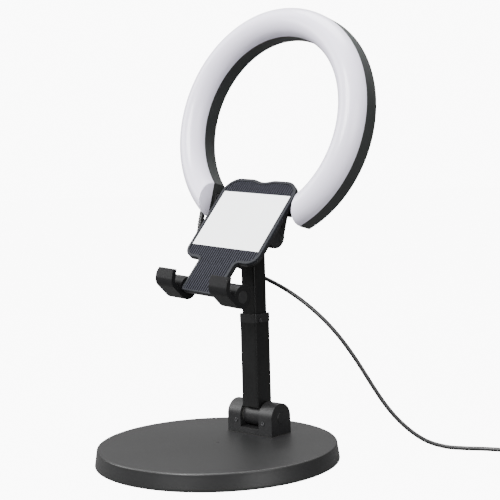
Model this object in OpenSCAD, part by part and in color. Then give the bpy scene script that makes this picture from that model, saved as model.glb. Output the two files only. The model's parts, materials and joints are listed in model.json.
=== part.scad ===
// Desk ring light on a telescopic post, with a phone plate, folding hooks and a weighted round base.
// Millimetres, +Z up, front towards -Y, origin at the centre of the base on the table.

/* [Base] */
// Radius of the base at the table
base_r = 98.5; // [80:0.1:120]
// How much smaller the radius is at the top edge
base_taper = 1.7; // [0:0.1:4]
// Height of the base
base_h = 14.2; // [11.5:0.1:17.5]
// Rounding of the base's top edge
base_round = 1.4; // [0.6:0.1:2.2]
// Wall of the base cover
cover_wall = 2.2; // [1.6:0.1:2.6]
// Thickness of the rubber foot pad
pad_t = 1.2; // [0.8:0.1:1.6]
// Thickness of the steel floor plate
floor_t = 1.6; // [1:0.1:2]
// Thickness of the steel weight
weight_t = 5; // [3:0.1:5.4]
// Gap between the edge of the weight and the edge of the base
weight_inset = 18.5; // [17:0.5:30]

/* [Fold hinge] */
// Distance of the fold axle behind the base's centre
hinge_y = 50.4; // [45:0.1:58]
// Height of the fold axle above the base
hinge_rise = 14.1; // [13:0.1:16]
// Radius of the bracket's rounded top
bracket_r = 12; // [11:0.1:13]
// Half width of the bracket
bracket_half = 24.7; // [20.6:0.1:29.6]
// Half width of the slot between the bracket's ears
ear_half = 10.2; // [10:0.1:11]
// Radius of the fold axle
axle_r = 3; // [2.5:0.1:3.4]
// Radius of the knuckle on the post
knuckle_r = 9.2; // [8.8:0.1:9.3]
// Radial play on every turning pin
pin_fit = 0.05; // [0.03:0.01:0.08]

/* [Post] */
// Distance of the post behind the base's centre
post_y = 48.6; // [46:0.1:56]
// Width of the square outer tube
outer_w = 17.8; // [17.4:0.1:19]
// Width of the square inner tube
inner_w = 15; // [14.4:0.1:15.1]
// Wall of both tubes
tube_wall = 1; // [0.8:0.1:1.2]
// Height of the outer tube
outer_h = 70.3; // [58:0.1:85]
// Height of the lock collar
collar_h = 7.4; // [6:0.1:9]
// How far the lock collar stands out from the outer tube
collar_lip = 0.3; // [0:0.1:0.8]
// Length of inner tube in sight at full height
inner_out = 51.8; // [46:0.1:62]
// Play between the inner tube and the lock collar
slide_fit = 0.08; // [0.05:0.01:0.1]

/* [Head] */
// Sideways lean of the head on its ball
head_roll = 4.5; // [-8:0.5:8]
// Height of the ball above the inner tube
ball_rise = 13.8; // [13:0.1:15]
// Radius of the ball
ball_r = 6.5; // [6:0.1:6.8]
// Radius of the tilt barrel
barrel_r = 9.5; // [9:0.1:10]
// Half width of the ball housing
barrel_half = 12.4; // [12:0.1:12.6]
// Half width of the whole tilt barrel over its end caps
barrel_end = 27.6; // [26:0.1:30]
// Radius of the tilt bolts
bolt_r = 2.5; // [2:0.1:2.8]

/* [Ring] */
// Outer radius of the ring
ring_r = 98.2; // [81:0.1:118]
// Width of the ring
ring_w = 23.8; // [19:0.1:28]
// Depth of the rear housing
housing_d = 13.6; // [12:0.1:16]
// How far the diffuser stands out in front
dome_h = 15.2; // [10:0.1:19]
// Wall of the housing
housing_wall = 2; // [1.6:0.1:2.2]
// Wall of the diffuser
diffuser_wall = 1.8; // [1.4:0.1:2.2]
// Half width of the gap at the foot of the ring
slot_half = 51.5; // [50:0.1:56]
// Lean of the ring from upright
ring_lean = 12.84; // [4:0.01:20]
// Number of light chips
chips = 40; // [20:1:60]

/* [Phone plate] */
// Lean of the phone plate from upright
plate_lean = 40.6; // [36:0.1:48]
// Distance from the tilt axis to the plate's front
plate_off = 19.04; // [18.6:0.01:24]
// Half width of the plate
plate_half = 40.4; // [39:0.1:46]
// Height of the plate above the tilt axis
plate_top = 43; // [38:0.1:44]
// Depth of the plate's wide part below the tilt axis
plate_low = 40.7; // [38:0.1:41]
// Radius of the upper corners
top_corner = 15; // [8:0.5:18]
// Radius of the lower corners
low_corner = 10.5; // [6:0.5:12]
// Half width of the narrow foot of the plate
waist_half = 20; // [18:0.1:20.2]
// Depth of the foot below the tilt axis
waist_low = 72.8; // [70:0.1:75]
// Half length of the thumb dip in the top edge
dip_half = 13; // [8:0.5:18]
// Depth of the thumb dip
dip_depth = 2.4; // [0:0.1:4]
// Width of the raised rim
rim_w = 2.6; // [1.5:0.1:3.2]
// Half width of the mirror
mirror_half = 36.9; // [28:0.1:37.2]
// Half height of the mirror
mirror_high = 28.4; // [20:0.1:34]

/* [Hooks] */
// Inner face of each hook from the middle
hook_in = 20.8; // [20.6:0.1:24]
// Outer face of each hook from the middle
hook_out = 40; // [34:0.1:44]
// Radius of the hook's knuckle
hook_r = 9.5; // [8.5:0.1:9.8]
// Thickness of the hook's arm
hook_t = 4; // [3:0.1:5]
// Straight reach of the arm before it turns up
hook_reach = 13.5; // [10:0.1:13.8]
// Radius of the hook axle
hook_axle_r = 1.5; // [1:0.1:2]

/* [Cord] */
// Diameter of the power cord
cord_d = 3.5; // [3:0.1:4]

/* [Hidden] */
$fn = 96;
e = 0.01;

hinge_z = base_h + hinge_rise;
tube_z0 = hinge_z + 8.2;
collar_z = tube_z0 + outer_h;
inner_z0 = collar_z - 15.3;
inner_z1 = collar_z + collar_h + inner_out;
pivot_z = inner_z1 + ball_rise;
plug_top = tube_z0 + 9;
floor_z = pad_t + floor_t;
cover_in = base_h - cover_wall;
screw_at = base_r - 9.5;
ring_in = ring_r - ring_w;
ring_mid = ring_r - ring_w / 2;
ring_up = ring_r - 4.4;
ring_fwd = 2.7;
bar_y0 = 5.3;
bar_y1 = 10.3;
bar_z0 = 18.5;
bar_z1 = 26;
back_t = 2;
frame_t = 2.4;
hook_axis_y = 7.5;
hook_axis_s = -66.5;
relief_x = -62.2;
relief_tip_r = 2.1;
cord_r = cord_d / 2;
coil_at = [200, 188, 0];
coil_r = 20;
coil_w = 11.6;
coil_h = 10.6;
plug_at = [249.5, 186, 0];
plug_turn = 180;

// Route of the cord from the strain relief down to the table and on to the coil
cord_points = [[-58.5, 48.4, 171.5], [-51, 50.8, 163.5], [-40, 54, 157.8], [-28, 58, 152.5],
    [-18, 62, 148], [-8, 66, 143.3], [3, 70, 138], [14, 74, 131.8], [24, 78, 124.8],
    [34, 82, 116.6], [44, 86, 107], [53, 90, 96.5], [61, 94, 85], [68, 98, 73], [74.5, 102, 60.5],
    [81, 106, 48], [88, 110, 36], [96, 114.5, 25], [105.5, 120, 15], [116.5, 126.5, 7],
    [129, 134, 2.8], [142, 141.5, 1.8], [156, 149.5, 1.8], [170, 156, 1.8], [184, 161.6, 1.8],
    [196, 165.6, 1.8], [206, 168.9, 1.8]];
tail_points = [[220, 188, 1.8], [220.4, 199, 1.8], [223, 209.5, 1.8], [229.5, 217, 2],
    [238, 219.5, 2.4], [245.5, 215.5, 3], [249, 208.8, 3.5]];

function arc(c, r, a0, a1, n) =
    [for (i = [0:n]) let (a = a0 + (a1 - a0) * i / n) [c[0] + r * cos(a), c[1] + r * sin(a)]];

function unit(v) = v / norm(v);

function bend(a, b, c, d, t) = 0.5 * (2 * b + (c - a) * t + (2 * a - 5 * b + 4 * c - d) * t * t
    + (3 * b - a - 3 * c + d) * t * t * t);

function smooth(p, sub) = let (n = len(p)) concat(
    [for (i = [0:n - 2], k = [0:sub - 1])
        bend(p[max(i - 1, 0)], p[i], p[i + 1], p[min(i + 2, n - 1)], k / sub)],
    [p[n - 1]]);

module tube_along(p, r, side, first = 0, last = -1) {
    m = len(p) - 1;
    n = (last < 0 ? m : last) - first + 1;
    pts = [for (i = [first:first + n - 1])
        let (t = unit(p[min(i + 1, m)] - p[max(i - 1, 0)]),
            u = unit(cross(t, side)), v = cross(u, t))
        for (k = [0:7]) p[i] + r * (cos(22.5 + 45 * k) * u + sin(22.5 + 45 * k) * v)];
    walls = [for (i = [0:n - 2], k = [0:7], h = [0:1])
        let (a = 8 * i + k, b = 8 * i + (k + 1) % 8)
        h == 0 ? [a, b, a + 8] : [b, b + 8, a + 8]];
    polyhedron(pts, concat([[for (k = [7:-1:0]) k]], walls, [[for (k = [0:7]) 8 * (n - 1) + k]]));
}

module tilt_x(len, x0 = 0) {
    translate([x0, 0, 0]) rotate([90, 0, 90]) linear_extrude(height = len) children();
}

module pin_x(r, x0, x1) {
    translate([x0, 0, 0]) rotate([0, 90, 0]) cylinder(r = r, h = x1 - x0);
}

module pin_y(r, y0, y1) {
    translate([0, y0, 0]) rotate([-90, 0, 0]) cylinder(r = r, h = y1 - y0);
}

module round_square(w, r) {
    square([w, w - 2 * r], center = true);
    square([w - 2 * r, w], center = true);
    for (x = [-1, 1], y = [-1, 1]) translate([x, y] * (w / 2 - r)) circle(r = r);
}

module both() {
    children();
    mirror([1, 0, 0]) children();
}

module hinge_frame() { translate([0, hinge_y, hinge_z]) children(); }

module post_frame() { translate([0, post_y, 0]) children(); }

module head_frame() { translate([0, post_y, pivot_z]) rotate([0, head_roll, 0]) children(); }

module ring_frame() { head_frame() rotate([-ring_lean, 0, 0]) children(); }

module ring_axis() {
    ring_frame() translate([0, -ring_fwd, ring_up]) rotate([-90, 0, 0]) children();
}

module plate_frame() {
    head_frame() rotate([-plate_lean, 0, 0]) translate([0, -plate_off, 0]) children();
}

module hook_frame() { plate_frame() translate([0, hook_axis_y, hook_axis_s]) children(); }

// ---- base ----

module base_pad() {
    color([0.06, 0.06, 0.06]) cylinder(r = base_r - 3.5, h = pad_t);
}

module base_plate() {
    color([0.3, 0.3, 0.32]) difference() {
        translate([0, 0, pad_t]) cylinder(r = base_r - 2.9, h = floor_t);
        for (a = [45:90:315]) rotate([0, 0, a]) translate([screw_at, 0, 0]) {
            translate([0, 0, pad_t - e]) cylinder(r = 3.1, h = 1);
            translate([0, 0, pad_t]) cylinder(r = 1.55, h = floor_t + 1);
        }
        for (x = [-16, 16]) translate([x, hinge_y, pad_t - e]) cylinder(r = 3.6, h = floor_t + 1);
    }
}

module base_weight() {
    color([0.42, 0.42, 0.44]) difference() {
        translate([0, 0, floor_z]) cylinder(r = base_r - weight_inset, h = weight_t);
        for (x = [-16, 16]) translate([x, hinge_y, floor_z - e]) cylinder(r = 4.2, h = weight_t + 1);
    }
}

module base_cover() {
    top_r = base_r - base_taper;
    color([0.09, 0.09, 0.1]) difference() {
        rotate_extrude($fn = 180) polygon(concat(
            [[0, base_h], [0, cover_in], [top_r - cover_wall, cover_in],
                [base_r - cover_wall, 0.8], [base_r, 0.8]],
            arc([top_r - base_round, base_h - base_round], base_round, 0, 90, 6)));
        for (x = [-16, 16]) translate([x, hinge_y, cover_in - e]) cylinder(r = 2.05, h = 5);
    }
    color([0.09, 0.09, 0.1]) for (a = [45:90:315]) rotate([0, 0, a]) translate([screw_at, 0, floor_z])
        difference() {
            cylinder(r = 4, h = cover_in - floor_z + e);
            translate([0, 0, -e]) cylinder(r = 1.25, h = 5);
        }
    color([0.09, 0.09, 0.1]) translate([0, 0, floor_z + weight_t]) difference() {
        cylinder(r = 24, h = cover_in - floor_z - weight_t + e);
        translate([0, 0, -e]) cylinder(r = 21, h = 10);
    }
}

module base_screws() {
    color([0.6, 0.6, 0.6]) for (a = [45:90:315]) rotate([0, 0, a]) translate([screw_at, 0, pad_t]) {
        cylinder(r = 3, h = 0.95);
        cylinder(r = 1.2, h = floor_t + 4);
    }
}

module bracket_bolts() {
    color([0.6, 0.6, 0.6]) for (x = [-16, 16]) translate([x, hinge_y, 0]) {
        translate([0, 0, cover_in - 3]) cylinder(r = 3.4, h = 3);
        translate([0, 0, cover_in - e]) cylinder(r = 2, h = cover_wall + 4);
    }
}

// ---- fold hinge ----

module hinge_bracket() {
    color([0.05, 0.05, 0.05]) difference() {
        hinge_frame() tilt_x(2 * bracket_half, -bracket_half) {
            circle(r = bracket_r);
            translate([-bracket_r, -hinge_rise]) square([2 * bracket_r, hinge_rise]);
        }
        translate([-ear_half, hinge_y - 20, hinge_z - 9.5]) cube([2 * ear_half, 40, 40]);
        hinge_frame() pin_x(axle_r + pin_fit, -40, 40);
        hinge_frame() both() pin_x(4.55, bracket_half - 0.7, 40);
        for (x = [-16, 16]) translate([x, hinge_y, base_h - 1]) cylinder(r = 2, h = 5.2);
        for (x = [-15, 15]) translate([x, hinge_y - bracket_r - 1, hinge_z - 4.3]) pin_y(1.2, 0, 9);
    }
}

module bracket_front_screws() {
    color([0.32, 0.32, 0.33]) for (x = [-15, 15])
        translate([x, hinge_y - bracket_r, hinge_z - 4.3]) difference() {
            union() {
                pin_y(1.8, -0.5, 0);
                pin_y(1.2, 0, 7);
            }
            translate([-0.3, -0.6, -1.2]) cube([0.6, 0.4, 2.4]);
            translate([-1.2, -0.6, -0.3]) cube([2.4, 0.4, 0.6]);
        }
}

module hinge_axle() {
    color([0.62, 0.62, 0.64]) hinge_frame() pin_x(axle_r, -bracket_half + 0.7, bracket_half - 0.7);
}

module axle_caps() {
    color([0.12, 0.12, 0.12]) hinge_frame() both() pin_x(4.5, bracket_half - 0.7, bracket_half + 0.3);
}

module lower_knuckle() {
    color([0.07, 0.07, 0.07]) difference() {
        union() {
            hinge_frame() pin_x(knuckle_r, -9.2, 9.2);
            translate([-7.2, hinge_y - 6.5, hinge_z]) cube([14.4, 13, 8.2]);
            post_frame() translate([0, 0, tube_z0]) linear_extrude(height = plug_top - tube_z0)
                square(outer_w - 2 * tube_wall - 0.1, center = true);
        }
        hinge_frame() pin_x(axle_r + pin_fit, -10, 10);
    }
}

module friction_washers() {
    color([0.8, 0.8, 0.78]) hinge_frame() both() difference() {
        pin_x(8.2, 9.3, ear_half - 0.1);
        pin_x(axle_r + pin_fit, 9, 12);
    }
}

// ---- post ----

module square_tube(w, wall, z0, z1) {
    post_frame() translate([0, 0, z0]) linear_extrude(height = z1 - z0) difference() {
        round_square(w, 1.4);
        round_square(w - 2 * wall, 0.6);
    }
}

module outer_tube() {
    color([0.06, 0.06, 0.06]) square_tube(outer_w, tube_wall, tube_z0, collar_z);
}

module lock_collar() {
    w = outer_w + 2 * collar_lip;
    hole = inner_w + 2 * slide_fit;
    color([0.05, 0.05, 0.05]) post_frame() difference() {
        translate([0, 0, collar_z]) linear_extrude(height = collar_h) difference() {
            round_square(w, 1.6);
            round_square(hole, 1.4);
        }
        translate([0, -3.3, collar_z + 1.9]) pin_x(1.15, 5, 12);
    }
}

module collar_screw() {
    color([0.3, 0.3, 0.3]) post_frame() translate([0, -3.3, collar_z + 1.9]) difference() {
        union() {
            pin_x(1.7, outer_w / 2 + collar_lip, outer_w / 2 + collar_lip + 0.8);
            pin_x(1.1, inner_w / 2 + slide_fit, outer_w / 2 + collar_lip + 0.1);
        }
        translate([outer_w / 2 + collar_lip + 0.4, -1.3, -0.3]) cube([1, 2.6, 0.6]);
    }
}

module inner_tube() {
    color([0.04, 0.04, 0.04]) square_tube(inner_w, tube_wall, inner_z0, inner_z1);
}

module slide_shoe() {
    color([0.75, 0.75, 0.72]) post_frame() translate([0, 0, inner_z0])
        linear_extrude(height = collar_z - inner_z0 - 0.3) difference() {
            round_square(outer_w - 2 * tube_wall - 0.1, 0.6);
            round_square(inner_w, 1.4);
        }
}

module ball_stud() {
    color([0.12, 0.12, 0.12]) post_frame() {
        translate([0, 0, inner_z1 - 10]) linear_extrude(height = 10)
            square(inner_w - 2 * tube_wall - 0.2, center = true);
        translate([0, 0, inner_z1]) linear_extrude(height = 2.4) round_square(inner_w + 1.4, 1.6);
        translate([0, 0, inner_z1 + 2.3]) cylinder(r = 3.6, h = ball_rise - 2.3);
        translate([0, 0, pivot_z]) sphere(r = ball_r);
    }
}

// ---- head ----

module barrel_solid() {
    difference() {
        pin_x(barrel_r, -barrel_half, barrel_half);
        sphere(r = ball_r + pin_fit);
        translate([0, 0, -barrel_r - 1]) cylinder(r1 = 6.4, r2 = 5, h = barrel_r - 3.5);
        both() pin_x(bolt_r, 8.9, 20);
        for (x = [-8.6, 8.6], z = [-5.4, 5.4]) translate([x, 0, z]) {
            pin_y(1.25, -12, 6);
            pin_y(1.95, -12, -4.8);
        }
    }
}

module head_housing_front() {
    color([0.08, 0.08, 0.08]) head_frame() intersection() {
        barrel_solid();
        translate([-20, -20, -20]) cube([40, 20, 40]);
    }
}

module head_housing_rear() {
    color([0.08, 0.08, 0.08]) head_frame() intersection() {
        barrel_solid();
        translate([-20, 0, -20]) cube([40, 20, 40]);
    }
}

module head_clamp_screws() {
    color([0.5, 0.5, 0.5]) head_frame() for (x = [-8.6, 8.6], z = [-5.4, 5.4])
        translate([x, 0, z]) {
            pin_y(1.9, -6, -4.8);
            pin_y(1.25, -4.9, 6);
        }
}

module tilt_bolt() {
    difference() {
        union() {
            pin_x(bolt_r, 9, barrel_end - 1.3);
            pin_x(barrel_r - 0.4, barrel_end - 1.4, barrel_end);
        }
        pin_x(5.5, barrel_end - 0.5, barrel_end + 1);
    }
}

module tilt_bolt_right() { color([0.1, 0.1, 0.1]) head_frame() tilt_bolt(); }

module tilt_bolt_left() { color([0.1, 0.1, 0.1]) head_frame() mirror([1, 0, 0]) tilt_bolt(); }

// ---- phone plate ----

function plate_outline(i, b) = let (h = plate_half - i, t = plate_top - i, s = -plate_low + i,
    w = waist_half - i, f = 4 + i, m = -waist_low + b, c1 = top_corner - i, c2 = low_corner - i,
    c3 = max(3 - i, 0.6)) concat(
        arc([h - c1, t - c1], c1, 0, 90, 12),
        [for (k = [0:14]) let (x = dip_half * (1 - k / 7))
            [x, t - dip_depth * (1 + cos(180 * x / dip_half)) / 2]],
        arc([c1 - h, t - c1], c1, 90, 180, 12),
        arc([c2 - h, s + c2], c2, 180, 270, 9),
        arc([-w - f, s - f], f, 90, 0, 6),
        arc([c3 - w, m + c3], c3, 180, 270, 4),
        arc([w - c3, m + c3], c3, 270, 360, 4),
        arc([w + f, s - f], f, 180, 90, 6),
        arc([h - c2, s + c2], c2, 270, 360, 9));

module plate_layer(y0, t) {
    translate([0, y0 + t, 0]) rotate([90, 0, 0]) linear_extrude(height = t) children();
}

module holder_frame() {
    color([0.2, 0.21, 0.23]) plate_frame() plate_layer(0, frame_t) difference() {
        polygon(plate_outline(0, 0));
        polygon(plate_outline(rim_w, 1.5));
    }
}

module holder_back() {
    color([0.06, 0.06, 0.06]) plate_frame() difference() {
        union() {
            plate_layer(frame_t, back_t) polygon(plate_outline(0, 0));
            both() translate([0, hook_axis_y, hook_axis_s]) {
                pin_x(4, 8, waist_half);
                translate([8, -hook_axis_y + frame_t + 1, -4]) cube([waist_half - 8, 4.1, 8]);
            }
        }
        translate([0, hook_axis_y, hook_axis_s]) pin_x(hook_axle_r, -25, 25);
        for (x = [-8, 8], s = [8.5, -18]) translate([x, 0, s]) pin_y(1.25, frame_t - 1, 8);
    }
}

module grip_pad() {
    color([0.13, 0.13, 0.13]) plate_frame() difference() {
        plate_layer(0.5, frame_t - 0.5) polygon(plate_outline(rim_w + 0.05, 1.55));
        translate([-mirror_half - 0.05, -1, -mirror_high - 0.05])
            cube([2 * mirror_half + 0.1, 2.6, 2 * mirror_high + 0.1]);
    }
}

module face_mirror() {
    color([0.88, 0.9, 0.91]) plate_frame() translate([-mirror_half, 0.1, -mirror_high])
        cube([2 * mirror_half, 1.5, 2 * mirror_high]);
}

module holder_bracket() {
    y0 = frame_t + back_t;
    color([0.08, 0.08, 0.08]) plate_frame() difference() {
        union() {
            translate([-17.8, y0, -22]) cube([35.6, 2.2, 34]);
            both() translate([0, plate_off, 0]) pin_x(9, 12.8, 17.8);
            both() translate([12.8, y0, -9]) cube([5, plate_off - y0, 18]);
        }
        translate([0, plate_off, 0]) pin_x(bolt_r + pin_fit, -25, 25);
        for (x = [-8, 8], s = [8.5, -18]) translate([x, 0, s]) pin_y(1.25, y0 - 1, y0 + 5);
    }
}

module holder_screws() {
    y0 = frame_t + back_t + 2.2;
    color([0.5, 0.5, 0.5]) plate_frame() for (x = [-8, 8], s = [8.5, -18]) translate([x, 0, s]) {
        pin_y(2.2, y0, y0 + 1);
        pin_y(1.25, frame_t + 0.1, y0 + 0.1);
    }
}

// ---- hooks ----

module hook_axle() {
    color([0.65, 0.65, 0.66]) hook_frame() pin_x(hook_axle_r, 1.4 - hook_out, hook_out - 1.4);
}

module hook_axle_caps() {
    color([0.14, 0.14, 0.15]) hook_frame() both() pin_x(5.2, hook_out - 1.4, hook_out);
}

module hook_solid() {
    c = [-hook_reach, 8 - hook_r];
    tip = 8.1 * [-cos(60), sin(60)];
    wide = hook_out - hook_in;
    far = hook_reach + 8 * sin(60) + 8.1 * cos(60) + 0.02;
    difference() {
        union() {
            pin_x(hook_r, hook_in, hook_out);
            intersection() {
                tilt_x(wide, hook_in) polygon(concat([[0, -hook_r]],
                    arc(c, 8, 270, 210, 8), [arc(c, 8, 270, 210, 8)[8] + tip],
                    [arc(c, 8 - hook_t, 270, 210, 8)[8] + tip],
                    arc(c, 8 - hook_t, 210, 270, 8), [[0, hook_t - hook_r]]));
                translate([0, 0, -20]) linear_extrude(height = 40) polygon(concat(
                    [[hook_in, 1], [hook_in, 2 - far]],
                    [for (a = [0:15:90]) [hook_in + 3 - 3 * cos(a), 2 - far - 2 * sin(a)]],
                    [for (a = [90:-15:0]) [hook_out - 6 + 6 * cos(a), 3 - far - 3 * sin(a)]],
                    [[hook_out, 3 - far], [hook_out, 1]]));
            }
        }
        pin_x(hook_axle_r + pin_fit, hook_in - 1, hook_out);
        pin_x(5.2 + pin_fit, hook_out - 1.5, hook_out + 1);
    }
}

module hook_right() { color([0.07, 0.07, 0.07]) hook_frame() hook_solid(); }

module hook_left() { color([0.07, 0.07, 0.07]) hook_frame() mirror([1, 0, 0]) hook_solid(); }

// ---- ring ----

module ring_gap(half, z0, z1) {
    translate([-half, 0, z0]) cube([2 * half, 2 * ring_r, z1 - z0]);
}

module ring_bridge() {
    color([0.07, 0.07, 0.07]) ring_frame() difference() {
        union() {
            translate([0.1 - slot_half, bar_y0, bar_z0])
                cube([2 * slot_half - 0.2, bar_y1 - bar_y0, bar_z1 - bar_z0]);
            both() translate([slot_half - 2.1, 0, 14]) cube([2.1, bar_y1, 18]);
            both() pin_x(barrel_r, 18.2, barrel_end - 1.6);
            both() translate([18.2, bar_y0, 0]) cube([barrel_end - 19.8, bar_y1 - bar_y0, bar_z1]);
        }
        pin_x(bolt_r + pin_fit, -40, 40);
        both() for (z = [17, 29]) translate([0, 2.6, z]) pin_x(1.4, slot_half - 5, slot_half + 5);
    }
}

module bridge_screws() {
    color([0.5, 0.5, 0.5]) ring_frame() both() for (z = [17, 29]) translate([0, 2.6, z]) {
        pin_x(2.4, slot_half - 3.4, slot_half - 2.1);
        pin_x(1.4, slot_half - 2.2, slot_half + 3.2);
    }
}

module ring_housing() {
    b = housing_d;
    color([0.17, 0.18, 0.18]) difference() {
        ring_axis() difference() {
            rotate_extrude($fn = 180) polygon(concat([[ring_in, 0], [ring_r, 0]],
                arc([ring_r - 1.6, b - 1.6], 1.6, 0, 90, 4),
                arc([ring_in + 1.6, b - 1.6], 1.6, 90, 180, 4)));
            ring_gap(slot_half, -1, b + 1);
            difference() {
                translate([0, 0, -1]) rotate_extrude($fn = 180) translate([ring_in + housing_wall, 0])
                    square([ring_w - 2 * housing_wall, b - housing_wall + 1]);
                ring_gap(slot_half + housing_wall, -2, b);
            }
            for (a = [50:52:310]) rotate([0, 0, a + 90]) translate([ring_in + 6, 0, 0]) {
                translate([0, 0, b - 1.2]) cylinder(r = 2.3, h = 2);
                translate([0, 0, b - 4]) cylinder(r = 1.2, h = 4);
            }
        }
        ring_frame() both() for (z = [17, 29]) translate([0, 2.6, z]) pin_x(1.4, slot_half - 5, slot_half + 5);
    }
}

module housing_screws() {
    color([0.45, 0.45, 0.45]) ring_axis() for (a = [50:52:310])
        rotate([0, 0, a + 90]) translate([ring_in + 6, 0, 0]) {
            translate([0, 0, housing_d - 1.2]) cylinder(r = 2.2, h = 0.9);
            translate([0, 0, housing_d - 4.1]) cylinder(r = 1.2, h = 3);
        }
}

module led_board() {
    z0 = housing_d - housing_wall - 1.6;
    color([0.85, 0.87, 0.85]) ring_axis() difference() {
        rotate_extrude($fn = 180) translate([ring_in + 3.6, z0]) square([ring_w - 7.2, 1.6]);
        ring_gap(slot_half + 4, 0, 20);
        for (a = [50:52:310]) rotate([0, 0, a + 90]) translate([ring_in + 6, 0, 0])
            cylinder(r = 1.2, h = 20);
    }
}

module led_chips() {
    z0 = housing_d - housing_wall - 2.4;
    a0 = asin((slot_half + 8) / ring_mid);
    step = (360 - 2 * a0) / (chips - 1);
    color([0.95, 0.9, 0.6]) ring_axis() for (i = [0:chips - 1])
        rotate([0, 0, 90 + a0 + i * step]) translate([ring_mid - 1.4, -1.75, z0]) cube([2.8, 3.5, 0.8]);
}

module diffuser() {
    lip0 = ring_in + housing_wall + 0.1;
    lip1 = ring_r - housing_wall - 0.1;
    half = ring_w / 2;
    inner = lip1 - 1.2 - ring_mid;
    color([0.95, 0.95, 0.96]) ring_axis() difference() {
        union() {
            difference() {
                rotate_extrude($fn = 180) polygon([for (i = [0:20]) let (a = 180 + 9 * i)
                    [ring_mid + half * cos(a), dome_h * sin(a)]]);
                ring_gap(slot_half, -dome_h - 1, 1);
            }
            difference() {
                translate([0, 0, -e]) rotate_extrude($fn = 180) translate([lip0, 0])
                    square([lip1 - lip0, 3]);
                ring_gap(slot_half + housing_wall + 0.1, -1, 4);
            }
        }
        difference() {
            rotate_extrude($fn = 180) polygon(concat([for (i = [0:20]) let (a = 180 + 9 * i)
                [ring_mid + inner * cos(a), (dome_h - diffuser_wall) * sin(a)]],
                [[ring_mid + inner, 5], [ring_mid - inner, 5]]));
            ring_gap(slot_half + housing_wall + 1.3, -dome_h, 6);
        }
    }
}

module strain_relief() {
    top = ring_up - sqrt(ring_r * ring_r - relief_x * relief_x) + 4;
    color([0.05, 0.05, 0.05]) ring_frame() difference() {
        union() {
            translate([relief_x, 0, 0]) cylinder(r1 = relief_tip_r, r2 = 2.6, h = top);
            for (z = [2.5:2.4:12]) translate([relief_x, 0, z]) cylinder(r = 2.6, h = 1.2);
        }
        translate([0, -5, ring_up]) rotate([-90, 0, 0]) cylinder(r = ring_r, h = 30, $fn = 180);
    }
}

// ---- cord and plug ----

function to_ring(p) = let (l = ring_lean, r = head_roll, y = p[1] * cos(l) + p[2] * sin(l),
    z = p[2] * cos(l) - p[1] * sin(l))
    [p[0] * cos(r) + z * sin(r), post_y + y, pivot_z + z * cos(r) - p[0] * sin(r)];

cord_start = [to_ring([relief_x, 0, -0.4]), to_ring([relief_x, 0, -4])];
cord_line = smooth(concat(cord_start, cord_points), 2);
behind_post = 14;

module cord_upper() {
    color([0.03, 0.03, 0.03]) tube_along(cord_line, cord_r, [-0.5, 0.87, 0], 0, behind_post);
}

module cord() {
    color([0.03, 0.03, 0.03]) tube_along(cord_line, cord_r, [-0.5, 0.87, 0], behind_post);
}

module cord_coil() {
    color([0.03, 0.03, 0.03]) translate(coil_at) rotate_extrude() translate([coil_r, 0])
        polygon([[-coil_w / 2 + 2, 0], [coil_w / 2 - 2, 0], [coil_w / 2, 2], [coil_w / 2, coil_h - 2],
            [coil_w / 2 - 2, coil_h], [2 - coil_w / 2, coil_h], [-coil_w / 2, coil_h - 2],
            [-coil_w / 2, 2]]);
}

module plug_frame() { translate(plug_at) rotate([0, 0, -plug_turn]) children(); }

module cord_tail() {
    s = plug_turn;
    ends = [for (d = [-18.4, -15.4]) plug_at + [d * sin(s), d * cos(s), 3.75]];
    color([0.03, 0.03, 0.03])
        tube_along(smooth(concat(tail_points, ends), 2), cord_r, [0, 0, 1]);
}

module usb_plug_body() {
    color([0.05, 0.05, 0.05]) plug_frame() {
        translate([-6.2, -9, 0]) cube([12.4, 20, 7.5]);
        translate([0, 0, 3.75]) pin_y(3.4, -11, -8.9);
        translate([0, -15.4, 3.75]) rotate([-90, 0, 0]) cylinder(r1 = 2.2, r2 = 3, h = 4.5);
    }
}

module usb_plug_shell() {
    color([0.75, 0.76, 0.78]) plug_frame() difference() {
        translate([-6, 11, 1.5]) cube([12, 12, 4.5]);
        translate([-5.6, 12, 1.9]) cube([11.2, 12, 1.8]);
    }
}

base_pad();
base_plate();
base_weight();
base_cover();
base_screws();
hinge_bracket();
bracket_bolts();
bracket_front_screws();
hinge_axle();
axle_caps();
lower_knuckle();
friction_washers();
outer_tube();
lock_collar();
collar_screw();
inner_tube();
slide_shoe();
ball_stud();
head_housing_front();
head_housing_rear();
head_clamp_screws();
tilt_bolt_left();
tilt_bolt_right();
holder_bracket();
holder_screws();
holder_back();
holder_frame();
grip_pad();
face_mirror();
hook_axle();
hook_axle_caps();
hook_left();
hook_right();
ring_bridge();
bridge_screws();
ring_housing();
housing_screws();
led_board();
led_chips();
diffuser();
strain_relief();
cord_upper();
cord();
cord_coil();
cord_tail();
usb_plug_body();
usb_plug_shell();
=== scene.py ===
"""Desk ring light with a phone plate, a telescopic post and a weighted base."""
import json
import math

import bmesh
import bpy
import numpy as np
from mathutils import Matrix


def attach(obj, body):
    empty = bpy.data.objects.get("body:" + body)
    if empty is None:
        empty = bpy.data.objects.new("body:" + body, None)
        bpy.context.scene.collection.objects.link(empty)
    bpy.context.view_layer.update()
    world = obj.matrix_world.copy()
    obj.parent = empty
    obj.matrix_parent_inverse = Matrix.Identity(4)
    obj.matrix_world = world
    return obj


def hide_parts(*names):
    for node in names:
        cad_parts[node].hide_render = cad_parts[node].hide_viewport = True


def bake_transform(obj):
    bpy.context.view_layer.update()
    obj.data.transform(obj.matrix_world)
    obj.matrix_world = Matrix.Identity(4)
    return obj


bl_info = {
    "name": "Desk ring light",
    "version": (1, 0, 0),
    "blender": (4, 5, 0),
    "location": "View3D > Sidebar > Ring light",
    "description": "Builds a desk ring light with a phone plate over its CAD frame",
    "category": "Add Mesh",
}

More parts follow.
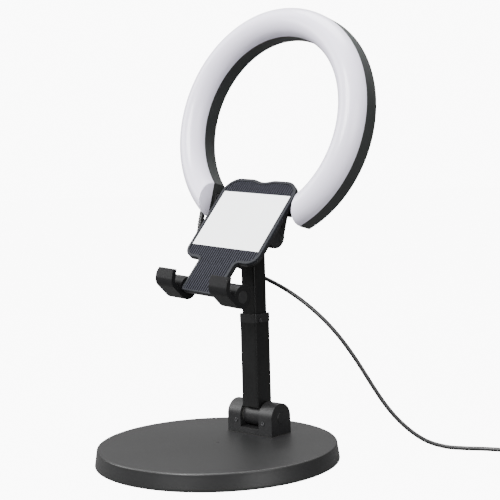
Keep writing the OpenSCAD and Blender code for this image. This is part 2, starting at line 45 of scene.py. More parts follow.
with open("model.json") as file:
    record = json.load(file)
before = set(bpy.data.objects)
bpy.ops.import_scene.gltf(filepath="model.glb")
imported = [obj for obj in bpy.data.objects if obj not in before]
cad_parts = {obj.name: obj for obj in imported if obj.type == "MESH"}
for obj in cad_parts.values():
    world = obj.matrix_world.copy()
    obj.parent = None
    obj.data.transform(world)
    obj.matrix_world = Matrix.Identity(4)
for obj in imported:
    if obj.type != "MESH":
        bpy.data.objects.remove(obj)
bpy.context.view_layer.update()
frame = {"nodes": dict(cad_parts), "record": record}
NODES = frame["nodes"]
BODY_OF = {n: b for b, ns in frame["record"]["behaviour"]["bodies"].items() for n in ns}
SLOT_OF = {s["node"]: s["material_slot"] for s in frame["record"]["subparts"]}
MM = 0.001

# ---------------------------------------------------------------- frames of the parts


def turned(axis, degrees):
    """4 by 4 matrix of a turn about one axis through the origin."""
    return np.array(Matrix.Rotation(math.radians(degrees), 4, axis))


def moved(x, y, z):
    """4 by 4 matrix of a shift in millimetres."""
    m = np.eye(4)
    m[:3, 3] = (x, y, z)
    return m


# the ball's centre, the head's roll, the ring's lean and the ring's centre from the ball
BALL, HEAD_ROLL, RING_LEAN, RING_CENTRE = (0, 48.6, 179.8), 4.5, 12.84, (0, -2.7, 93.8)
HEAD = moved(*BALL) @ turned("Y", HEAD_ROLL)
RING = HEAD @ turned("X", -RING_LEAN)
RING_AXIS = RING @ moved(*RING_CENTRE) @ turned("X", -90)


def placed(points, m):
    """Points in millimetres in a part's own frame, put into the row frame in metres."""
    p = np.asarray(points, float)
    return (p @ m[:3, :3].T + m[:3, 3]) * MM


# ---------------------------------------------------------------- shapes


def new_piece(name, vertices, faces, smooth=True):
    """A mesh object from an array of points and a list of faces."""
    mesh = bpy.data.meshes.new(name)
    mesh.from_pydata(np.asarray(vertices).reshape(-1, 3).tolist(), [], faces)
    mesh.update()
    if smooth:
        mesh.shade_smooth()
    piece = bpy.data.objects.new(name, mesh)
    bpy.context.scene.collection.objects.link(piece)
    return piece


def carried(name, loops, closed=False):
    """A closed profile carried along a path: loops is rows of points (row, point, xyz), joined row to
    row, with a flat face over each end unless the path closes on itself."""
    rows, count = loops.shape[:2]
    i = np.arange(rows if closed else rows - 1)[:, None]
    k = np.arange(count)[None, :]
    n, j = (i + 1) % rows, (k + 1) % count
    quads = np.stack(np.broadcast_arrays(i * count + k, i * count + j, n * count + j, n * count + k), -1)
    faces = quads.reshape(-1, 4).tolist()
    if not closed:
        faces += [list(range(count))[::-1], [(rows - 1) * count + q for q in range(count)]]
    piece = new_piece(name, loops, faces)
    point_outwards(piece)
    return piece


def point_outwards(piece):
    """Turns every face outwards."""
    bm = bmesh.new()
    bm.from_mesh(piece.data)
    bmesh.ops.recalc_face_normals(bm, faces=bm.faces)
    bm.to_mesh(piece.data)
    bm.free()


def finished(piece, edge, segments, angle):
    """Rounds the sharp edges by so many millimetres and keeps flat faces flat in the shading."""
    piece.data.set_sharp_from_angle(angle=math.radians(angle))
    bevel = piece.modifiers.new("edge", "BEVEL")
    bevel.width = edge * MM
    bevel.segments = segments
    bevel.limit_method = "ANGLE"
    bevel.angle_limit = math.radians(angle)
    bevel.harden_normals = False
    normals = piece.modifiers.new("flat", "WEIGHTED_NORMAL")
    normals.keep_sharp = False
    normals.weight = 80
    return piece


def softened(node, edge, segments, angle):
    """A copy of a CAD piece with its loose triangles joined into flat faces and its edges rounded."""
    bm = bmesh.new()
    bm.from_mesh(NODES[node].data)
    bmesh.ops.remove_doubles(bm, verts=bm.verts, dist=2e-6)
    bmesh.ops.dissolve_limit(bm, angle_limit=math.radians(0.6), verts=bm.verts, edges=bm.edges)
    mesh = bpy.data.meshes.new(node + "_form")
    bm.to_mesh(mesh)
    bm.free()
    mesh.shade_smooth()
    piece = bpy.data.objects.new(node + "_form", mesh)
    bpy.context.scene.collection.objects.link(piece)
    finished(piece, edge, segments, angle)
    return stands_for(piece, node)


def join(piece, *others):
    """Adds the others' faces to the piece's own mesh."""
    bm = bmesh.new()
    for one in (piece, *others):
        bm.from_mesh(one.data)
    bm.to_mesh(piece.data)
    bm.free()
    for one in others:
        bpy.data.objects.remove(one)
    return piece


def stands_for(piece, *nodes):
    """The piece takes the place of CAD nodes and rides with their body."""
    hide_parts(*nodes)
    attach(piece, BODY_OF[nodes[0]])
    return piece


def wear(piece, material):
    """Gives a piece its one material."""
    piece.data.materials.clear()
    piece.data.materials.append(material)
    return piece


# ---------------------------------------------------------------- shader maths


class Wire:
    """A shader socket, or a plain number, that Python's operators join up with Math nodes."""

    def __init__(self, paint, source):
        self.paint, self.source = paint, source

    def _join(self, operation, *others):
        values = [self.source] + [o.source if isinstance(o, Wire) else o for o in others]
        return self.paint.node("ShaderNodeMath", {"operation": operation}, dict(enumerate(values)))

    def __add__(self, other):
        return self._join("ADD", other)

    def __mul__(self, other):
        return self._join("MULTIPLY", other)

    def __sub__(self, other):
        return self._join("SUBTRACT", other)

    __radd__ = __add__

    def power(self, exponent):
        return self._join("POWER", exponent)

    def sine(self):
        return self._join("SINE")

    def clipped(self, low, high):
        return self._join("MAXIMUM", low)._join("MINIMUM", high)


class Paint:
    """One material, built around a Principled shader and Object coordinates."""

    def __init__(self, name, colour, roughness, metallic=0.0, coat=0.0, coat_roughness=0.1, specular=0.5):
        self.material = bpy.data.materials.new(name)
        self.material.use_nodes = True
        self.material.diffuse_color = (*colour, 1)
        self.tree = self.material.node_tree
        self.shader = self.tree.nodes["Principled BSDF"]
        for key, value in (("Base Color", (*colour, 1)), ("Roughness", roughness), ("Metallic", metallic),
                           ("Coat Weight", coat), ("Coat Roughness", coat_roughness),
                           ("Specular IOR Level", specular)):
            self.shader.inputs[key].default_value = value
        self.place = self.node("ShaderNodeTexCoord", {}, {}, "Object")

    def node(self, kind, settings, sockets, output=0):
        """Any node: its settings first, then its sockets' values or links."""
        made = self.tree.nodes.new(kind)
        for key, value in settings.items():
            setattr(made, key, value)
        for key, value in sockets.items():
            value = value.source if isinstance(value, Wire) else value
            if isinstance(value, bpy.types.NodeSocket):
                self.tree.links.new(value, made.inputs[key])
            else:
                made.inputs[key].default_value = value
        return Wire(self, made.outputs[output])

    def feed(self, key, wire):
        """Links an expression to the shader."""
        self.tree.links.new(wire.source, self.shader.inputs[key])
        return self

    def noise(self, scale, detail):
        """Soft noise from 0 to 1, with so many lumps a metre."""
        return self.node("ShaderNodeTexNoise", {}, {"Vector": self.place, "Scale": scale,
                                                   "Detail": detail, "Roughness": 0.55})

    def axis(self, x, y, z):
        """Distance in metres along a direction in the row frame."""
        return self.node("ShaderNodeVectorMath", {"operation": "DOT_PRODUCT"},
                         {0: self.place, 1: (x, y, z)}, "Value")

    def mixed(self, amount, first, second):
        """Two colours mixed by an expression."""
        return self.node("ShaderNodeMix", {"data_type": "RGBA"},
                         {0: amount, 6: (*first, 1), 7: (*second, 1)}, 2)

    def raised(self, height, depth, strength=1.0):
        """A bump of so many millimetres of relief."""
        bump = self.node("ShaderNodeBump", {}, {"Height": height, "Distance": depth * MM,
                                               "Strength": strength}, "Normal")
        return self.feed("Normal", bump)


def moulded(name, colour, roughness=0.45, grain=0.03, scale=2600.0, mottle=0.12, **more):
    """Moulded plastic or paint: a fine grain, uneven gloss and a little dust in the colour."""
    paint = Paint(name, colour, roughness, **{"specular": 0.35, **more})
    broad, fine = paint.noise(38.0, 4.0), paint.noise(scale, 2.0)
    paint.feed("Roughness", (roughness + (broad - 0.5) * mottle + (fine - 0.5) * 0.06).clipped(0.05, 1.0))
    light = tuple(min(1.0, c * 1.22 + 0.004) for c in colour)
    dark = tuple(c * 0.84 for c in colour)
    paint.feed("Base Color", paint.mixed(broad.clipped(0.25, 0.75), dark, light))
    paint.raised(fine, grain)
    return paint.material


def metal(name, colour, roughness, streak=(1, 0, 0), depth=0.02):
    """Metal with streaks that run across the given direction."""
    paint = Paint(name, colour, roughness, metallic=1.0)
    across = paint.axis(*streak)
    lines = paint.node("ShaderNodeTexNoise", {"noise_dimensions": "1D"},
                       {"W": across, "Scale": 5200.0, "Detail": 3.0})
    patch = paint.noise(55.0, 3.0)
    paint.feed("Roughness", (roughness + (lines - 0.5) * 0.16 + (patch - 0.5) * 0.14).clipped(0.05, 1.0))
    paint.raised(lines, depth)
    return paint.material


# ---------------------------------------------------------------- sizes and colours


class RingLightSizes(bpy.types.PropertyGroup):
    """Sizes of the forms that are drawn here over the frame."""

    ring_radius: bpy.props.FloatProperty(
        name="Ring radius", description="Outer radius of the ring", default=0.0982, unit="LENGTH")
    ring_width: bpy.props.FloatProperty(
        name="Ring width", description="Width of the ring's section", default=0.0238, unit="LENGTH")
    dome_height: bpy.props.FloatProperty(
        name="Dome height", description="How far the diffuser stands out", default=0.0152, unit="LENGTH")
    ring_gap: bpy.props.FloatProperty(
        name="Ring gap", description="Half width of the gap at the ring's foot", default=0.0515,
        unit="LENGTH")
    base_radius: bpy.props.FloatProperty(
        name="Base radius", description="Radius of the base at the table", default=0.0985, unit="LENGTH")
    base_height: bpy.props.FloatProperty(
        name="Base height", description="Height of the base", default=0.0142, unit="LENGTH")
    cord_diameter: bpy.props.FloatProperty(
        name="Cord diameter", description="Diameter of the power cord", default=0.0035, unit="LENGTH")
    rib_pitch: bpy.props.FloatProperty(
        name="Rib pitch", description="Distance between the ribs of the grip pad", default=0.0024,
        unit="LENGTH")


class RingLightColours(bpy.types.PropertyGroup):
    """Colours of the finishes."""

    diffuser: bpy.props.FloatVectorProperty(
        name="Diffuser", description="Milky plastic over the lights", subtype="COLOR",
        default=(0.80, 0.768, 0.90), min=0, max=1)
    housing: bpy.props.FloatVectorProperty(
        name="Housing", description="Back of the ring", subtype="COLOR", default=(0.020, 0.022, 0.0215),
        min=0, max=1)
    base: bpy.props.FloatVectorProperty(
        name="Base", description="Paint of the base", subtype="COLOR", default=(0.008, 0.008, 0.0083),
        min=0, max=1)
    rim: bpy.props.FloatVectorProperty(
        name="Plate rim", description="Frame around the mirror", subtype="COLOR",
        default=(0.014, 0.015, 0.018), min=0, max=1)
    pad: bpy.props.FloatVectorProperty(
        name="Grip pad", description="Ribbed rubber of the plate", subtype="COLOR",
        default=(0.0078, 0.0080, 0.0105), min=0, max=1)
    black: bpy.props.FloatVectorProperty(
        name="Black parts", description="Post, hinge and hooks", subtype="COLOR",
        default=(0.006, 0.006, 0.0065), min=0, max=1)


def sizes():
    return bpy.context.scene.ring_light_sizes


def colours():
    return bpy.context.scene.ring_light_colours


FINISHES = {}


def finish(name):
    """A finish by name, made the first time that a piece asks for it."""
    if name not in FINISHES:
        FINISHES[name] = FINISH_MAKERS[name]()
    return FINISHES[name]


def base_paint():
    c = tuple(colours().base)
    paint = Paint("satin_base_paint", c, 0.42, coat=0.08, coat_roughness=0.3, specular=0.4)
    orange, broad = paint.noise(900.0, 2.0), paint.noise(14.0, 3.0)
    dust = paint.noise(3800.0, 1.0).power(9.0) * 2.2
    paint.feed("Roughness", (0.4 + (broad - 0.5) * 0.14 + dust * 0.3).clipped(0.2, 0.9))
    paint.feed("Base Color", paint.mixed((dust + (broad - 0.5) * 0.3).clipped(0.0, 1.0), c,
                                         (0.035, 0.035, 0.036)))
    paint.raised(orange, 0.03)
    return paint.material


def milky_diffuser():
    c = tuple(colours().diffuser)
    paint = Paint("milky_diffuser", c, 0.42, coat=0.6, coat_roughness=0.12)
    broad, fine = paint.noise(22.0, 3.0), paint.noise(3200.0, 2.0)
    paint.feed("Base Color", paint.mixed(broad.clipped(0.3, 0.7), tuple(x * 0.975 for x in c), c))
    paint.feed("Roughness", 0.4 + (broad - 0.5) * 0.1 + (fine - 0.5) * 0.05)
    paint.raised(fine, 0.012)
    return paint.material


def ribbed_pad():
    c = tuple(colours().pad)
    paint = Paint("ribbed_pad", c, 0.6, specular=0.05)
    across = paint.axis(0.99692, 0.0, -0.07846)
    ribs = (across * (2 * math.pi / sizes().rib_pitch)).sine() * 0.5 + 0.5
    fine = paint.noise(2400.0, 2.0)
    # painted highlight and painted shade: the colour runs from a dark groove to a light crest with the
    # ribs, on top of the real relief that the bump gives
    paint.feed("Base Color", paint.mixed(ribs.power(1.6), tuple(x * 0.12 for x in c),
                                         tuple(min(1, x * 4.2) for x in c)))
    paint.feed("Roughness", 0.52 + fine * 0.16)
    paint.raised(ribs + fine * 0.1, 0.35)
    return paint.material


def mirror_face():
    paint = Paint("mirror_face", (0.93, 0.95, 0.96), 0.04, metallic=1.0)
    smear = paint.noise(60.0, 4.0)
    paint.feed("Roughness", (0.03 + smear.power(3.0) * 0.16).clipped(0.02, 0.2))
    paint.feed("Base Color", paint.mixed(smear.clipped(0.0, 1.0), (0.95, 0.965, 0.975), (0.9, 0.92, 0.935)))
    return paint.material


def cord_jacket():
    """Smooth jacket with faint lengthwise scuffs."""
    paint = Paint("cord_jacket", (0.006, 0.006, 0.0062), 0.42)
    scuff, fine = paint.noise(160.0, 4.0), paint.noise(2600.0, 2.0)
    paint.feed("Roughness", (0.36 + scuff * 0.18).clipped(0.2, 0.8))
    paint.feed("Base Color", paint.mixed(scuff.power(2.0), (0.006, 0.006, 0.0063), (0.016, 0.016, 0.0165)))
    paint.raised(fine, 0.02)
    return paint.material


FINISH_MAKERS = {
    "base": base_paint,
    "diffuser": milky_diffuser,
    "pad": ribbed_pad,
    "mirror": mirror_face,
    "cord": cord_jacket,
    "housing": lambda: moulded("ring_housing_plastic", tuple(colours().housing), 0.5, grain=0.05,
                               scale=1900.0),
    "rim": lambda: moulded("plate_rim_plastic", tuple(colours().rim), 0.42, grain=0.02, specular=0.1),
    "black": lambda: moulded("black_plastic", tuple(colours().black), 0.4, grain=0.03),
    "hook": lambda: moulded("hook_plastic", tuple(colours().black), 0.33, grain=0.02, specular=0.11),
    "tube": lambda: moulded("tube_paint", (0.003, 0.003, 0.0031), 0.3, grain=0.02, scale=1200.0,
                            specular=0.25),
    "cap": lambda: moulded("cap_plastic", (0.009, 0.009, 0.0095), 0.32, grain=0.01),
    "foot": lambda: moulded("foot_rubber", (0.02, 0.02, 0.02), 0.75, grain=0.08),
    "nylon": lambda: moulded("nylon", (0.62, 0.61, 0.56), 0.5, grain=0.03),
    "board": lambda: moulded("board_mask", (0.72, 0.74, 0.72), 0.45, grain=0.02),
    "chip": lambda: moulded("chip_lens", (0.85, 0.72, 0.2), 0.25, grain=0.01),
    "steel": lambda: metal("bright_steel", (0.58, 0.58, 0.59), 0.28, (0, 0, 1)),
    "plate_steel": lambda: metal("rolled_steel", (0.33, 0.33, 0.34), 0.5, (0, 1, 0)),
    "screw": lambda: metal("black_screw_steel", (0.1, 0.1, 0.105), 0.35, (1, 0, 0)),
}

PLAIN_FINISH = {
    "rubber_black": "foot", "steel_dark": "plate_steel", "base_paint": "base", "steel_bright": "steel",
    "black_plastic": "black", "screw_black": "screw", "nylon": "nylon", "tube_paint": "tube",
    "cap_plastic": "cap", "rim_plastic": "rim", "pad_rubber": "pad", "mirror_glass": "mirror",
    "hook_plastic": "hook", "housing_plastic": "housing", "board_white": "board", "led_yellow": "chip",
    "diffuser_white": "diffuser", "cord_rubber": "cord", "plug_steel": "steel",
}


def dress(*nodes, edge=0.25, segments=3, angle=35.0):
    """Softened copies of CAD nodes in the finish of their slot."""
    for node in nodes:
        wear(softened(node, edge, segments, angle), finish(PLAIN_FINISH[SLOT_OF[node]]))


def colour_plain(*nodes):
    """CAD nodes that stay as they are, in the finish of their slot."""
    for node in nodes:
        wear(NODES[node], finish(PLAIN_FINISH[SLOT_OF[node]]))


# ---------------------------------------------------------------- cords

# the cord's first points in the ring's frame, then its route to the coil, in millimetres
CORD_EXIT = np.array([(-62.2, 0, -0.1, 1), (-62.2, 0, -4, 1)])
CORD_ROUTE = np.array([
    (-58.5, 48.4, 171.5), (-51, 50.8, 163.5), (-40, 54, 157.8), (-28, 58, 152.5), (-18, 62, 148),
    (-8, 66, 143.3), (3, 70, 138), (14, 74, 131.8), (24, 78, 124.8), (34, 82, 116.6), (44, 86, 107),
    (53, 90, 96.5), (61, 94, 85), (68, 98, 73), (74.5, 102, 60.5), (81, 106, 48), (88, 110, 36),
    (96, 114.5, 25), (105.5, 120, 15), (116.5, 126.5, 7), (129, 134, 2.8), (142, 141.5, 1.8),
    (156, 149, 1.8), (170, 154.6, 1.8), (183, 158.4, 1.8), (195, 161.9, 1.8)])
BEHIND_POST = 7  # points of the route that hang behind the post
TAIL_ROUTE = np.array([
    (222, 200, 12.6), (225.5, 210.5, 7.5), (231.5, 217.3, 3.5), (239, 219.2, 2.4), (245.5, 215.5, 3.0),
    (249, 208.8, 3.5)])
PLUG_END = np.array([(249.5, 204.4, 3.75), (249.5, 201.4, 3.75)])
COIL_AT = (200.0, 188.0)
COIL_START = -72.6  # degrees
# turns of the coil, and its radius and height there: three layers of three turns, laid side by side
COIL_RADIUS = ((0, 23.6), (0.917, 23.6), (1.0, 20), (1.917, 20), (2.0, 16.4), (3.694, 16.4),
               (3.806, 20), (4.694, 20), (4.806, 23.6), (6.472, 23.6), (6.583, 20), (7.472, 20),
               (7.583, 16.4), (8.08, 16.4), (8.2, 20.5))
COIL_HEIGHT = ((0, 1.8), (2.806, 1.8), (2.917, 5.4), (5.583, 5.4), (5.694, 9.0), (8.0, 9.0),
               (8.09, 12.7), (8.2, 12.4))


TOUCHES_TABLE = (0.129, 0.134, 0.0028)  # metres: the point where the cord comes down to the table


def smooth_route(points, parts):
    """A curve through all the points, with each stretch cut into so many parts: each part is the
    usual cubic through four neighbouring points."""
    p = np.vstack([points[:1], points, points[-1:]])
    t = (np.arange(parts) / parts)[None, :, None]
    a, b, c, d = (p[k:len(p) - 3 + k, None, :] for k in range(4))
    curve = 0.5 * (2 * b + (c - a) * t + (2 * a - 5 * b + 4 * c - d) * t**2
                   + (3 * b - a - 3 * c + d) * t**3)
    return np.vstack([curve.reshape(-1, 3), points[-1:]])


def route_tube(name, line, diameter, sides=14):
    """A round tube along a line: at each point a circle square to the line, its start turned on from
    the circle before as little as the line allows."""
    step = np.gradient(line, axis=0)
    step /= np.linalg.norm(step, axis=1)[:, None]
    side = np.cross(step[0], (0.0, 0.0, 1.0))
    sides_of = []
    for along in step:
        side = side - along * side.dot(along)
        side /= np.linalg.norm(side)
        sides_of.append(side)
    u = np.array(sides_of)
    v = np.cross(step, u)
    a = np.linspace(0, 2 * math.pi, sides, endpoint=False)
    circle = np.cos(a)[None, :, None] * u[:, None] + np.sin(a)[None, :, None] * v[:, None]
    return carried(name, line[:, None] + circle * diameter / 2)


def coil_points():
    """Points on the coil: an angle that grows evenly, with the radius and height of each turn."""
    turns = np.arange(0, 8.2001, 1 / 24)
    radius = np.interp(turns, *np.array(COIL_RADIUS).T)
    height = np.interp(turns, *np.array(COIL_HEIGHT).T)
    a = np.radians(COIL_START + 360 * turns)
    return np.stack([COIL_AT[0] + radius * np.cos(a), COIL_AT[1] + radius * np.sin(a), height], 1)


# the camera's place in metres, its turn, dip and roll in degrees, its lens and sensor in mm
CAMERA_AT, CAMERA_TURNS, CAMERA_LENS = (0.6136, -0.6164, 0.2188), (42.84, 3.29, -1.65), (78.44, 36.0)


class RINGLIGHT_OT_camera(bpy.types.Operator):
    """Sets the camera that the light is looked at from"""

    bl_idname = "ringlight.camera"
    bl_label = "Camera"

    def execute(self, context):
        data = bpy.data.cameras.new("camera")
        data.lens, data.sensor_width = CAMERA_LENS
        data.clip_start, data.clip_end = 0.01, 50
        camera = bpy.data.objects.new("camera", data)
        context.scene.collection.objects.link(camera)
        turn, dip, roll = (math.radians(v) for v in CAMERA_TURNS)
        ahead = np.array([-math.sin(turn) * math.cos(dip), math.cos(turn) * math.cos(dip),
                          -math.sin(dip)])
        right = np.cross(ahead, (0, 0, 1))
        right /= np.linalg.norm(right)
        up = np.cross(right, ahead)
        right, up = (math.cos(roll) * right + math.sin(roll) * up,
                     math.cos(roll) * up - math.sin(roll) * right)
        m = np.eye(4)
        m[:3, 0], m[:3, 1], m[:3, 2] = right, up, -ahead
        m[:3, 3] = CAMERA_AT
        camera.matrix_world = Matrix(m.tolist())
        context.scene.camera = camera
        return {"FINISHED"}


class RINGLIGHT_OT_cords(bpy.types.Operator):
    """Lays the power cord: down behind the post, along the table and into its coil"""

    bl_idname = "ringlight.cords"
    bl_label = "Power cord"

    def execute(self, context):
        diameter = sizes().cord_diameter
        start = (RING @ CORD_EXIT.T).T[:, :3]
        route = np.vstack([start, CORD_ROUTE, coil_points(), TAIL_ROUTE, PLUG_END])
        line = smooth_route(route, 4) * MM
        cut = 4 * BEHIND_POST
        upper, lower = line[:cut + 1], line[cut:]
        for name, part, node, end, lay, pair, span, pieces in (
                ("cord_behind_post", upper, ("cord_upper",), "bare", "hanging",
                 ("column_lower", "column_upper"), (upper[-1], upper[0]), ()),
                ("cord_to_plug", lower, ("cord", "cord_coil", "cord_tail"), "plug", "coiled",
                 ("base", "column_lower"), (TOUCHES_TABLE, lower[0]),
                 (NODES["usb_plug_body"], NODES["usb_plug_shell"]))):
            tube = wear(route_tube(name, part, diameter), finish("cord"))
            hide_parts(*node)
            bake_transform(tube)
        return {"FINISHED"}


# the backdrop as the camera sees it, the light that the room gives before and behind the object,
# and the glow of the floor
BACKDROP, ROOM_LIGHT, FLOOR_GLOW = 10.0, (0.05, 0.3), 9.6
SKY_LIGHT = (0.0, 1.1)
# each lamp's name, place, aim, width in metres and power in watts
LAMPS = (
    ("key", (0.3, -1.7, 1.3), (0, 0, 0.2), 1.2, 105.0),
    ("top", (-0.1, 0.4, 1.8), (0, 0.05, 0.1), 1.3, 42.0),
    ("left", (-1.5, -0.9, 0.8), (0, 0, 0.2), 1.0, 22.0),
    ("right", (1.6, -0.2, 0.5), (0, 0, 0.2), 1.0, 14.0),
    ("card", (-0.81, -0.22, 1.18), (0.0, 0.034, 0.192), 0.8, 5.0))


class RINGLIGHT_OT_stage(bpy.types.Operator):
    """Sets the pale floor and the soft studio light"""

    bl_idname = "ringlight.stage"
    bl_label = "Floor and light"

    def execute(self, context):
        floor = new_piece("floor", [(-30, -30, 0), (30, -30, 0), (30, 30, 0), (-30, 30, 0)],
                          [(0, 1, 2, 3)], smooth=False)
        floor.location.z = -0.0002
        pale = Paint("pale_floor", (0.12, 0.12, 0.12), 0.95, specular=0.0)
        seen = pale.node("ShaderNodeLightPath", {}, {}, "Is Camera Ray")
        pale.shader.inputs["Emission Color"].default_value = (1, 1, 1, 1)
        pale.feed("Emission Strength", seen * FLOOR_GLOW)
        wear(floor, pale.material)
        world = bpy.data.worlds.new("studio")
        world.use_nodes = True
        tree = world.node_tree
        path = tree.nodes.new("ShaderNodeLightPath")
        place = tree.nodes.new("ShaderNodeTexCoord")
        beyond = tree.nodes.new("ShaderNodeVectorMath")
        beyond.operation = "DOT_PRODUCT"
        beyond.inputs[1].default_value = (-0.68, 0.733, 0)
        parts = tree.nodes.new("ShaderNodeSeparateXYZ")
        both = tree.nodes.new("ShaderNodeMath")
        room, sky, level = (tree.nodes.new("ShaderNodeMapRange") for _ in range(3))
        for node, values in ((room, (0.3, 0.95, *ROOM_LIGHT)), (sky, (0.3, 0.6, *SKY_LIGHT))):
            for key, value in zip(("From Min", "From Max", "To Min", "To Max"), values):
                node.inputs[key].default_value = value
        level.inputs["To Max"].default_value = BACKDROP
        for source, socket in ((place.outputs["Generated"], beyond.inputs[0]),
                               (beyond.outputs["Value"], room.inputs["Value"]),
                               (place.outputs["Generated"], parts.inputs["Vector"]),
                               (parts.outputs["Z"], sky.inputs["Value"]),
                               (room.outputs["Result"], both.inputs[0]),
                               (sky.outputs["Result"], both.inputs[1]),
                               (both.outputs["Value"], level.inputs["To Min"]),
                               (path.outputs["Is Camera Ray"], level.inputs["Value"]),
                               (level.outputs["Result"], tree.nodes["Background"].inputs["Strength"])):
            tree.links.new(source, socket)
        tree.nodes["Background"].inputs["Color"].default_value = (1, 1, 1, 1)
        context.scene.world = world
        for name, at, aim, width, power in LAMPS:
            data = bpy.data.lights.new(name, "AREA")
            data.shape, data.size, data.energy = "DISK", width, power
            lamp = bpy.data.objects.new(name, data)
            context.scene.collection.objects.link(lamp)
            z = np.array(at, float) - np.array(aim, float)
            z /= np.linalg.norm(z)
            x = np.cross((0, 0, 1), z)
            x /= np.linalg.norm(x)
            y = np.cross(z, x)
            away = np.eye(4)
            away[:3, 0], away[:3, 1], away[:3, 2], away[:3, 3] = x, y, z, at
            lamp.matrix_world = Matrix(away.tolist())
        return {"FINISHED"}


class RINGLIGHT_OT_base(bpy.types.Operator):
    """Builds the round weighted base"""

    bl_idname = "ringlight.base"
    bl_label = "Base"

    def execute(self, context):
        radius, height = sizes().base_radius / MM, sizes().base_height / MM
        turn = np.radians(np.arange(0, 91, 7.5))
        edge = np.stack([radius - 1.7 - 1.4 + 1.4 * np.cos(turn), height - 1.4 + 1.4 * np.sin(turn)], 1)
        foot = [(radius - 2.2, 0.8), (radius - 0.5, 0.8), (radius - 0.1, 1.0), (radius, 1.4)]
        skirt = [(radius - 1.7 * k / 6, 1.4 + (height - 3.0) * k / 6) for k in range(1, 6)]
        top = [(r, height) for r in (90, 70, 50, 30, 12, 1.0)]
        inside = [(1.0, height - 2.2), (radius - 3.9, height - 2.2)]
        profile = np.array(foot + skirt + edge.tolist() + top + inside)
        a = np.linspace(0, 2 * math.pi, 256, endpoint=False)[:, None]
        loops = np.stack([profile[:, 0] * np.cos(a), profile[:, 0] * np.sin(a),
                          np.broadcast_to(profile[:, 1], (256, len(profile)))], -1) * MM
        cover = carried("base_cover_form", loops, closed=True)
        bm = bmesh.new()
        bm.from_mesh(cover.data)
        edges = [e for e in bm.edges if e.is_boundary]
        bmesh.ops.holes_fill(bm, edges=edges)
        bm.to_mesh(cover.data)
        bm.free()
        cover.data.set_sharp_from_angle(angle=math.radians(40))
        button = np.linspace(0, 2 * math.pi, 24, endpoint=False)
        plug = np.stack([np.stack([1.2 * np.cos(button), 1.2 * np.sin(button), np.full(24, z)], 1)
                         for z in (height - 2.2, height)]) * MM
        centre = carried("base_centre", plug)
        join(cover, centre)
        stands_for(wear(cover, finish("base")), "base_cover")
        dress("base_pad", "base_plate", edge=0.2, segments=2)
        colour_plain("base_weight", "base_screws", "bracket_bolts")
        return {"FINISHED"}


class RINGLIGHT_OT_hinge(bpy.types.Operator):
    """Builds the fold hinge on the base"""

    bl_idname = "ringlight.hinge"
    bl_label = "Fold hinge"

    def execute(self, context):
        dress("hinge_bracket", edge=0.6, segments=4)
        dress("lower_knuckle", edge=0.4)
        dress("axle_caps", "bracket_front_screws", edge=0.15)
        colour_plain("hinge_axle", "friction_washers")
        return {"FINISHED"}


class RINGLIGHT_OT_post(bpy.types.Operator):
    """Builds the telescopic post, its lock collar and the ball stud"""

    bl_idname = "ringlight.post"
    bl_label = "Post"

    def execute(self, context):
        dress("outer_tube", "inner_tube", edge=0.15, segments=2, angle=50)
        dress("lock_collar", edge=0.3, angle=50)
        dress("collar_screw", edge=0.12)
        dress("ball_stud", edge=0.3, angle=50)
        colour_plain("slide_shoe")
        return {"FINISHED"}


class RINGLIGHT_OT_head(bpy.types.Operator):
    """Builds the ball housing and the tilt barrel"""

    bl_idname = "ringlight.head"
    bl_label = "Head"

    def execute(self, context):
        dress("head_housing_front", "head_housing_rear", edge=0.25)
        dress("tilt_bolt_left", "tilt_bolt_right", edge=0.4)
        dress("holder_bracket", edge=0.5)
        colour_plain("head_clamp_screws", "holder_screws")
        return {"FINISHED"}


class RINGLIGHT_OT_plate(bpy.types.Operator):
    """Builds the phone plate, its ribbed pad and its mirror"""

    bl_idname = "ringlight.plate"
    bl_label = "Phone plate"

    def execute(self, context):
        dress("holder_frame", edge=0.35, segments=3, angle=40)
        dress("holder_back", edge=0.7, segments=4, angle=40)
        dress("grip_pad", edge=0.2, angle=40)
        dress("face_mirror", edge=0.2, segments=2)
        dress("hook_axle_caps", edge=0.3)
        colour_plain("hook_axle")
        return {"FINISHED"}


class RINGLIGHT_OT_hooks(bpy.types.Operator):
    """Builds the two folding hooks"""

    bl_idname = "ringlight.hooks"
    bl_label = "Hooks"

    def execute(self, context):
        dress("hook_left", "hook_right", edge=0.8, segments=4, angle=32)
        return {"FINISHED"}


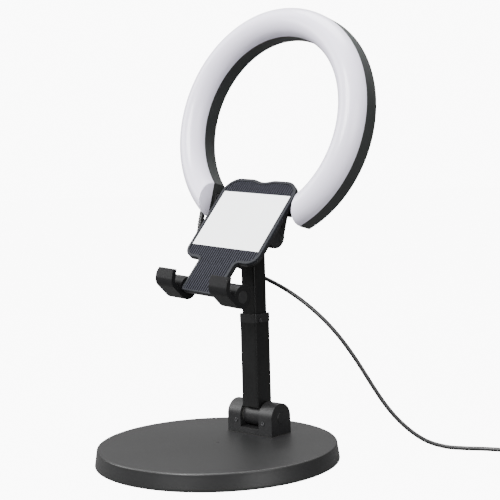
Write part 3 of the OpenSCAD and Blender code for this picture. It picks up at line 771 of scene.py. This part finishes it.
class RINGLIGHT_OT_ring(bpy.types.Operator):
    """Builds the ring: housing, milky diffuser, light board and bridge"""

    bl_idname = "ringlight.ring"
    bl_label = "Ring"

    def execute(self, context):
        s = sizes()
        outer, width = s.ring_radius / MM, s.ring_width / MM
        middle, half, rise, gap = outer - width / 2, width / 2, s.dome_height / MM, s.ring_gap / MM
        t = np.linspace(0, math.pi, 49)
        dome = np.stack([middle + half * np.cos(t), -rise * np.sin(t)], 1)
        back = np.stack([np.linspace(middle - half, middle + half, 8)[1:-1], np.zeros(6)], 1)
        section = np.vstack([dome, back])
        # every point of the section runs round its own circle, from one flat end plane to the other
        first = np.arcsin(gap / section[:, 0])
        along = np.linspace(0, 1, 220)[:, None]
        a = first + (2 * math.pi - 2 * first) * along
        r, d = section[:, 0], np.broadcast_to(section[:, 1], a.shape)
        loops = np.stack([r * np.sin(a), r * np.cos(a), d], -1)
        diffuser = carried("diffuser_form", placed(loops, RING_AXIS))
        finished(diffuser, edge=0.7, segments=4, angle=45)
        stands_for(wear(diffuser, finish("diffuser")), "diffuser")
        dress("ring_housing", edge=0.35, angle=40)
        dress("ring_bridge", edge=0.5)
        dress("strain_relief", edge=0.15)
        colour_plain("bridge_screws", "housing_screws", "led_board", "led_chips")
        return {"FINISHED"}


class RINGLIGHT_OT_plug(bpy.types.Operator):
    """Builds the plug at the end of the cord"""

    bl_idname = "ringlight.plug"
    bl_label = "Plug"

    def execute(self, context):
        colour_plain("usb_plug_body", "usb_plug_shell")
        return {"FINISHED"}


class RINGLIGHT_PT_panel(bpy.types.Panel):
    """Lists the steps that build the ring light"""

    bl_label = "Ring light"
    bl_idname = "RINGLIGHT_PT_panel"
    bl_space_type = "VIEW_3D"
    bl_region_type = "UI"
    bl_category = "Ring light"

    def draw(self, context):
        for group in (context.scene.ring_light_sizes, context.scene.ring_light_colours):
            box = self.layout.box()
            for key in group.__annotations__:
                box.prop(group, key)
        for step in STEPS:
            self.layout.operator(step.bl_idname)


STEPS = (
    RINGLIGHT_OT_camera, RINGLIGHT_OT_cords, RINGLIGHT_OT_stage, RINGLIGHT_OT_base, RINGLIGHT_OT_hinge,
    RINGLIGHT_OT_post, RINGLIGHT_OT_head, RINGLIGHT_OT_plate, RINGLIGHT_OT_hooks, RINGLIGHT_OT_ring,
    RINGLIGHT_OT_plug,
)
CLASSES = (RingLightSizes, RingLightColours, *STEPS, RINGLIGHT_PT_panel)


def register():
    for one in CLASSES:
        bpy.utils.register_class(one)
    bpy.types.Scene.ring_light_sizes = bpy.props.PointerProperty(type=RingLightSizes)
    bpy.types.Scene.ring_light_colours = bpy.props.PointerProperty(type=RingLightColours)


def unregister():
    del bpy.types.Scene.ring_light_sizes
    del bpy.types.Scene.ring_light_colours
    for one in reversed(CLASSES):
        bpy.utils.unregister_class(one)


def main():
    register()
    for step in STEPS:
        group, name = step.bl_idname.split(".")
        getattr(getattr(bpy.ops, group), name)()


if __name__ == "__main__":
    main()
